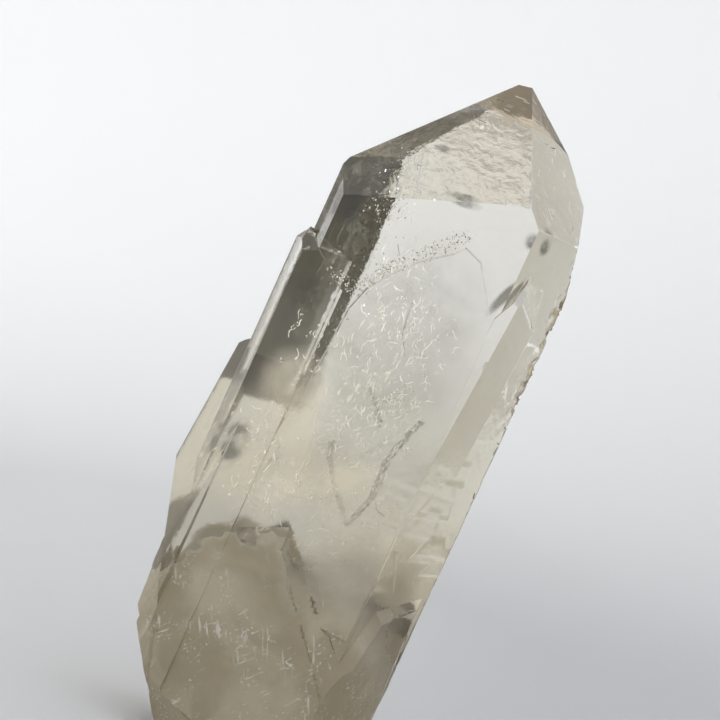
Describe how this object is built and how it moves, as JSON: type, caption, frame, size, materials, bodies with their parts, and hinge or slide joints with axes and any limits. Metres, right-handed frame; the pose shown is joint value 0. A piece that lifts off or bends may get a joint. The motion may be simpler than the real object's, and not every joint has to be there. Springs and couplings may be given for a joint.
{
  "type": "trigonic quartz crystal",
  "caption": "Clear smoky quartz point with a steep tip, etched triangular pits, side crystals grown onto it and a milky broken foot cut flat to stand on.",
  "frame": {"origin": "bottom centre of the bounding box, on the flat of the foot", "axes": "+Z along the crystal's long axis towards the tip, -Y towards the wide clear front face, +X to its right"},
  "size_m": [0.0588, 0.0352, 0.1483],
  "materials": {
    "quartz": "clear, glossy and faintly smoky, with etched faces, turning milky and matt at the foot"
  },
  "bodies": {
    "root": {"quartz_crystal": "quartz"}
  },
  "joints": []
}
